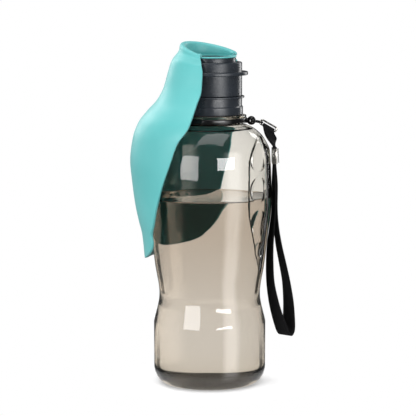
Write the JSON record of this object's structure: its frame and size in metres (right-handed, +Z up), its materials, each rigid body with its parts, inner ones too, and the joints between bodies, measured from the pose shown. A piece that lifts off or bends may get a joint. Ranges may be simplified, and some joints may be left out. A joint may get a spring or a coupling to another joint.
{
  "type": "dog travel water bottle",
  "caption": "Clear travel water bottle with a pull-up spout, a silicone leaf that flips up as a pet drinking bowl, and a wrist strap on a turning neck ring.",
  "frame": {"origin": "centre of the flat base", "axes": "+Z up along the bottle's axis, -Y towards the front, +X towards the wrist strap"},
  "size_m": [0.1077, 0.0921, 0.2221],
  "materials": {
    "smoke_clear_plastic": "clear gloss",
    "charcoal_plastic": "satin",
    "black_plastic": "gloss",
    "teal_silicone": "smooth silicone",
    "pale_silicone": "smooth silicone",
    "black_webbing": "woven",
    "bright_metal": "polished"
  },
  "bodies": {
    "bottle": {"bottle_shell": "smoke_clear_plastic"},
    "seal": {"cap_gasket": "pale_silicone", "slit_valve": "pale_silicone", "valve_retainer": "charcoal_plastic"},
    "pin": {"closure_pin": "charcoal_plastic"},
    "cap": {"screw_cap": "charcoal_plastic"},
    "spout": {"pull_spout": "charcoal_plastic", "spout_o_ring": "pale_silicone", "leaf_collar": "teal_silicone", "leaf_clamp": "charcoal_plastic", "leaf_fold": "teal_silicone"},
    "leaf": {"leaf_cup": "teal_silicone"},
    "ring": {"lanyard_ring": "black_plastic"},
    "tether": {"tether_cord": "black_webbing", "strap_link": "bright_metal"},
    "strap": {"strap_tab": "black_webbing", "strap_crimp": "bright_metal", "crimp_lever": "bright_metal", "wrist_loop": "black_webbing"}
  },
  "joints": [
    {"name": "cap_lift", "type": "slide", "parent": "bottle", "child": "seal", "axis": [0, 0, 1], "range_m": [0, 0.065]},
    {"name": "cap_rise", "type": "slide", "parent": "seal", "child": "pin", "axis": [0, 0, 1], "range_m": [0, 0.0065]},
    {"name": "cap_turn", "type": "hinge", "parent": "pin", "child": "cap", "pos_m": [0, 0, 0.186], "axis": [0, 0, 1], "range_deg": [0, 720]},
    {"name": "spout_pull", "type": "slide", "parent": "cap", "child": "spout", "axis": [0, 0, 1], "range_m": [0, 0.005]},
    {"name": "leaf_flip", "type": "hinge", "parent": "spout", "child": "leaf", "pos_m": [-0.01813, 0.00845, 0.212], "axis": [0.4226, 0.9063, 0], "range_deg": [0, 150], "deforming": ["leaf_fold"]},
    {"name": "ring_swivel", "type": "hinge", "parent": "bottle", "child": "ring", "pos_m": [0, 0, 0.172], "axis": [0, 0, 1], "range_deg": [-60, 55]},
    {"name": "tether_lift", "type": "hinge", "parent": "ring", "child": "tether", "pos_m": [0.0269, 0, 0.1714], "axis": [0, -1, 0], "range_deg": [0, 75]},
    {"name": "strap_swing", "type": "hinge", "parent": "tether", "child": "strap", "pos_m": [0.03749, 0, 0.16645], "axis": [0.866, 0, -0.5], "range_deg": [-35, 35], "deforming": ["wrist_loop"]}
  ],
  "couplings": [
    {"joint": "cap_rise", "follows": "cap_turn", "m_per_rad": 0.0005093}
  ]
}
